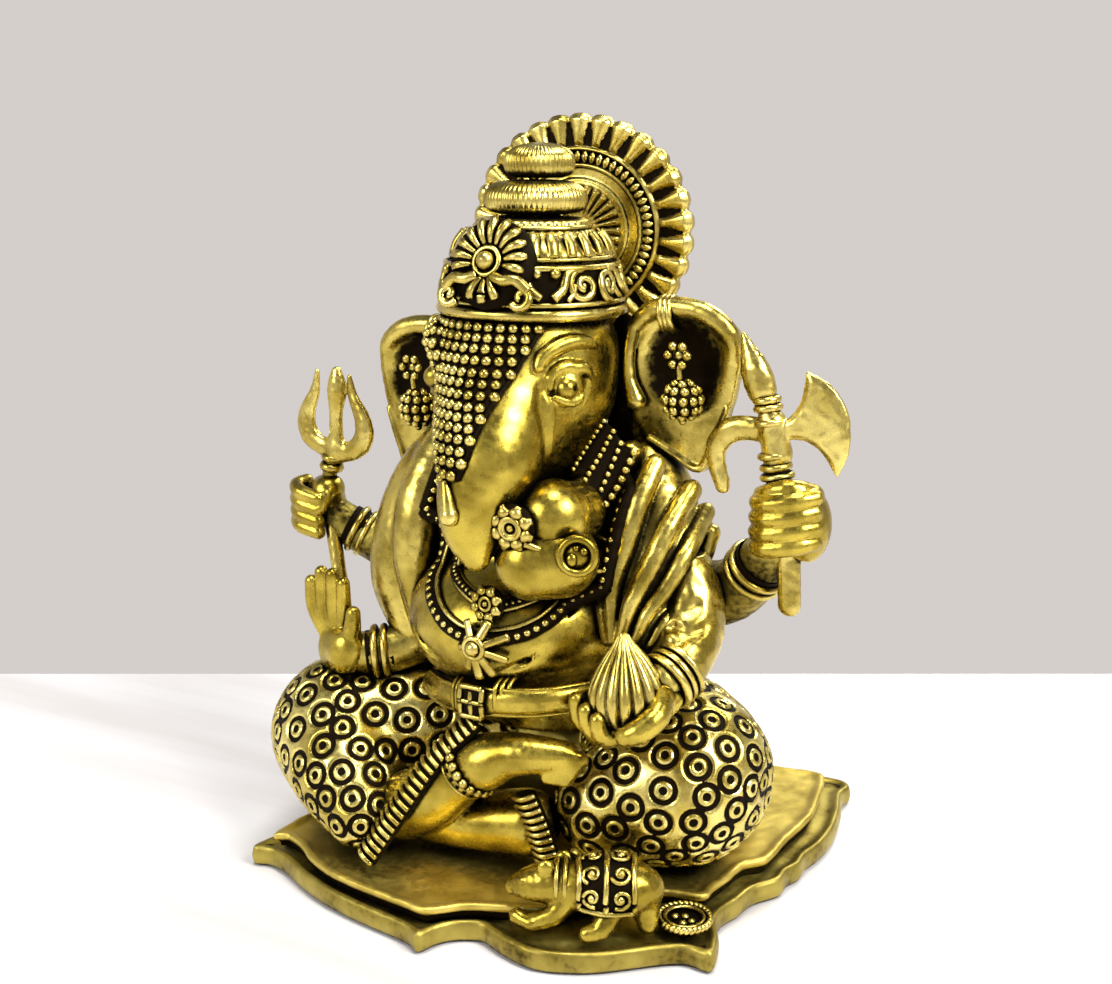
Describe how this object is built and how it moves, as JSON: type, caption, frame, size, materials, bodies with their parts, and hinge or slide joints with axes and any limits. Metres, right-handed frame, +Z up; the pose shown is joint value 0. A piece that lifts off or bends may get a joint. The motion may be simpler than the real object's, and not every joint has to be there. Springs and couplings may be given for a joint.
{
  "type": "ganesha idol",
  "caption": "Seated four-armed Ganesha figurine in antiqued cast brass on a stepped, wavy-edged plate, with a round halo behind the crown and a small mouse at the front.",
  "frame": {"origin": "middle of the flat underside of the base plate, at table height", "axes": "+Z up, -Y the way the figure faces, +X the figure's own left"},
  "size_m": [0.1198, 0.0998, 0.1497],
  "materials": {
    "polished_brass": "worn bright on raised detail, near-black patina left in the recesses",
    "warm_brass": "smooth satin antique brass on skin and cloth surfaces",
    "olive_brass": "dull olive antique brass on side walls and the back",
    "blackened_brass": "blackened brass ground under rows of bright beads"
  },
  "bodies": {
    "root": {"anklet_right": "polished_brass", "arm_front_left": "warm_brass", "arm_front_right": "warm_brass", "arm_rear_left": "warm_brass", "arm_rear_right": "warm_brass", "axe": "polished_brass", "bangles_front_left": "polished_brass", "bangles_front_right": "polished_brass", "base_plate": "olive_brass", "base_step": "warm_brass", "belt": "warm_brass", "brow_net": "blackened_brass", "buckle": "polished_brass", "crown_band": "polished_brass", "crown_lower_bun": "polished_brass", "crown_petals": "polished_brass", "crown_rosette": "polished_brass", "crown_upper_bun": "polished_brass", "ear_clip_left": "polished_brass", "ear_clip_right": "polished_brass", "ear_left": "warm_brass", "ear_right": "warm_brass", "earring_left": "polished_brass", "earring_right": "polished_brass", "eye_left": "polished_brass", "eye_right": "polished_brass", "fist_rear_left": "warm_brass", "fist_rear_right": "warm_brass", "foot_right": "warm_brass", "halo": "polished_brass", "hand_front_left": "warm_brass", "head": "warm_brass", "hem_left": "polished_brass", "hem_right": "polished_brass", "leg_left": "warm_brass", "leg_right": "warm_brass", "modak": "polished_brass", "mouse": "warm_brass", "mouse_cloth": "polished_brass", "mouse_tail": "polished_brass", "necklace_inner": "polished_brass", "necklace_outer": "polished_brass", "palm_right": "warm_brass", "pendant_lower": "polished_brass", "pendant_upper": "polished_brass", "seat_back": "olive_brass", "shawl_left": "polished_brass", "shawl_right": "polished_brass", "thigh_left": "polished_brass", "thigh_right": "polished_brass", "torso": "warm_brass", "trident": "polished_brass", "trunk": "warm_brass", "tusk_flower": "polished_brass", "tusk_left": "warm_brass", "wristlet_rear_left": "polished_brass", "wristlet_rear_right": "polished_brass"}
  },
  "joints": []
}
